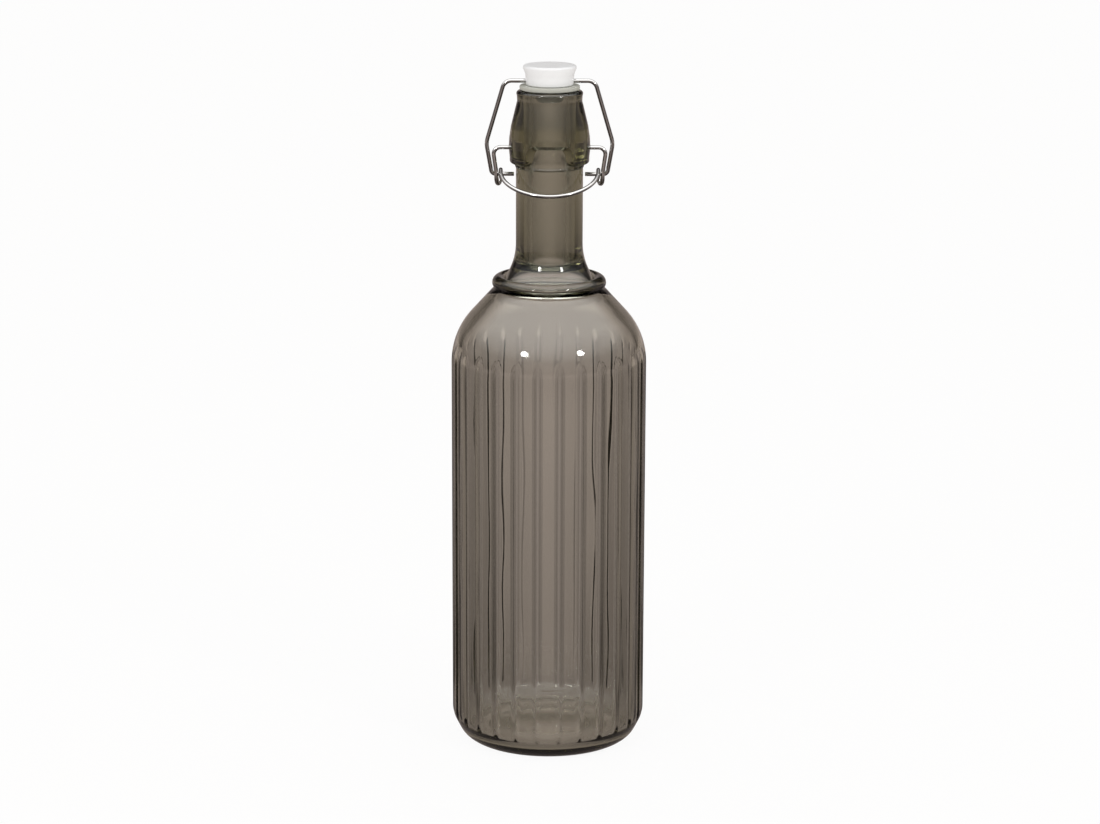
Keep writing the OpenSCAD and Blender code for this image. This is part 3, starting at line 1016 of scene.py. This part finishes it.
def studio_world(settings):
    """Plain white light; glass and wires show a grey room with a wide soft light above the front."""
    world = bpy.data.worlds.new("studio")
    world.use_nodes = True
    tree = world.node_tree
    tree.nodes.clear()
    output = tree.nodes.new("ShaderNodeOutputWorld")
    place = tree.nodes.new("ShaderNodeTexCoord")
    split = tree.nodes.new("ShaderNodeSeparateXYZ")
    backdrop = add(tree, "ShaderNodeBackground", Color=(*settings.backdrop, 1.0))
    soft = add(tree, "ShaderNodeBackground", Color=(1.0, 1.0, 1.0, 1.0))
    both = tree.nodes.new("ShaderNodeAddShader")
    plain = add(tree, "ShaderNodeBackground", Color=(1.0, 1.0, 1.0, 1.0), Strength=settings.world)
    white = add(tree, "ShaderNodeBackground", Color=(1.0, 1.0, 1.0, 1.0), Strength=1.0)
    path = tree.nodes.new("ShaderNodeLightPath")
    link = tree.links.new
    link(place.outputs["Generated"], split.inputs[0])
    y, z = split.outputs["Y"], split.outputs["Z"]
    rise = ramp(tree, z, CEILING)
    front = smooth_level(tree, y, *CEILING_BACK, settings.ceiling, 0.0)
    end = smooth_level(tree, z, *WALL_TOP, 1.0, ABOVE_WALLS)
    level = combined(tree, "MULTIPLY", end, room_level(tree, place.outputs["Generated"]))
    link(level, backdrop.inputs["Strength"])
    link(combined(tree, "MULTIPLY", rise, front), soft.inputs["Strength"])
    link(backdrop.outputs[0], both.inputs[0])
    link(soft.outputs[0], both.inputs[1])
    seen = seen_in_glass(tree, path)
    shown = mixed(tree, seen, plain.outputs[0], both.outputs[0])
    link(mixed(tree, path.outputs["Is Camera Ray"], shown, white.outputs[0]), output.inputs["Surface"])
    return world


# Lamps: degrees from the front, positive to the right, and their shared place and size
LAMPS = (("lamp_left", -31.5), ("lamp_right", 41.5))
LAMP_ELEVATION = 27
LAMP_DISTANCE = 1.3
LAMP_RADIUS = 0.098
LAMP_AIM = (0, 0, 0.19)


def soft_lamp(name, azimuth, power):
    """A round lamp aimed at the shoulder."""
    data = bpy.data.lights.new(name, "AREA")
    data.shape = "DISK"
    data.size = 2 * LAMP_RADIUS
    data.energy = power
    lamp = bpy.data.objects.new(name, data)
    a, e = radians(azimuth), radians(LAMP_ELEVATION)
    way = Vector((sin(a) * cos(e), -cos(a) * cos(e), sin(e)))
    lamp.location = Vector(LAMP_AIM) + way * LAMP_DISTANCE
    lamp.rotation_euler = way.to_track_quat("Z", "Y").to_euler()
    bpy.context.scene.collection.objects.link(lamp)


class BOTTLE_OT_stage(bpy.types.Operator):
    """Sets the floor, the lamps, the white ground and the camera"""
    bl_idname = "bottle.stage"
    bl_label = "Stage"

    def execute(self, context):
        scene = context.scene
        settings = scene.bottle_stage
        mesh = bmesh.new()
        bmesh.ops.create_circle(mesh, cap_ends=True, segments=96, radius=FLOOR_RADIUS)
        floor = piece("floor", mesh, floor_material(settings), smooth=False)
        scene.world = studio_world(settings)
        for name, azimuth in LAMPS:
            soft_lamp(name, azimuth, settings.key_power)
        data = bpy.data.cameras.new("camera")
        data.sensor_width = 36.0
        data.lens = FOCUS_PIXELS / FRAME_PIXELS * data.sensor_width
        data.clip_start = 0.05
        data.clip_end = 20.0
        camera = bpy.data.objects.new("camera", data)
        turn = Matrix.Rotation(radians(90 - CAMERA_PITCH), 4, "X") @ Matrix.Rotation(
            radians(CAMERA_ROLL), 4, "Z")
        camera.matrix_world = Matrix.Translation(CAMERA_AT) @ turn
        scene.collection.objects.link(camera)
        scene.camera = camera
        scene.view_settings.view_transform = "Standard"
        return {"FINISHED"}


class BOTTLE_PT_panel(bpy.types.Panel):
    """Lists the builders of the bottle's pieces"""
    bl_idname = "BOTTLE_PT_panel"
    bl_label = "Swing-top bottle"
    bl_space_type = "VIEW_3D"
    bl_region_type = "UI"
    bl_category = "Bottle"

    def draw(self, context):
        for settings in (context.scene.bottle_glass, context.scene.bottle_closure,
                         context.scene.bottle_stage):
            column = self.layout.column(align=True)
            for name in settings.__annotations__:
                column.prop(settings, name)
        for operator in OPERATORS:
            self.layout.operator(operator.bl_idname)


OPERATORS = (BOTTLE_OT_stage, BOTTLE_OT_glass, BOTTLE_OT_lever, BOTTLE_OT_bail,
             BOTTLE_OT_stopper, BOTTLE_OT_gasket)
CLASSES = (GlassSettings, ClosureSettings, StageSettings) + OPERATORS + (BOTTLE_PT_panel,)


def register():
    for cls in CLASSES:
        bpy.utils.register_class(cls)
    scene = bpy.types.Scene
    scene.bottle_glass = bpy.props.PointerProperty(type=GlassSettings)
    scene.bottle_closure = bpy.props.PointerProperty(type=ClosureSettings)
    scene.bottle_stage = bpy.props.PointerProperty(type=StageSettings)
    scene.bottle_wire = bpy.props.PointerProperty(type=bpy.types.Material)


def unregister():
    scene = bpy.types.Scene
    del scene.bottle_glass, scene.bottle_closure, scene.bottle_stage, scene.bottle_wire
    for cls in reversed(CLASSES):
        bpy.utils.unregister_class(cls)


def main():
    register()
    scene = bpy.context.scene
    scene.bottle_wire = wire_material(scene.bottle_closure)
    bpy.ops.bottle.stage()
    bpy.ops.bottle.glass()
    bpy.ops.bottle.lever()
    bpy.ops.bottle.bail()
    bpy.ops.bottle.stopper()
    bpy.ops.bottle.gasket()


if __name__ == "__main__":
    main()
